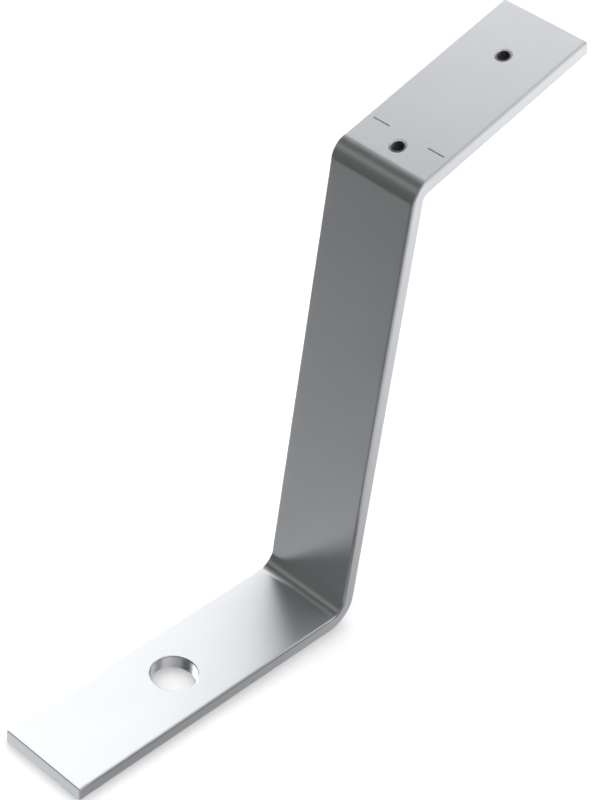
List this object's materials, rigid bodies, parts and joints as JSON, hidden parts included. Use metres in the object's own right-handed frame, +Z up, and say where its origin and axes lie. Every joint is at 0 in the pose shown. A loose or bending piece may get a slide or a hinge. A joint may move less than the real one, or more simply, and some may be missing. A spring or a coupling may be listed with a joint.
{
  "type": "roof bracket",
  "caption": "Flat steel bar bent into a foot with a bolt hole, an upright riser and a sloping top plate with flush threaded inserts.",
  "frame": {"origin": "centre of the foot's bolt hole, on the underside of the foot", "axes": "+Z up along the bolt hole, +Y along the foot towards the riser and the top plate, X across the bar"},
  "size_m": [0.04, 0.2402, 0.2302],
  "materials": {
    "bar_steel": "fine satin stainless flat bar with rounded edges",
    "insert_steel": "turned stainless, duller than the bar"
  },
  "bodies": {
    "root": {"bracket_bar": "bar_steel", "threaded_insert_near_bend": "insert_steel", "threaded_insert_near_end": "insert_steel"}
  },
  "joints": []
}
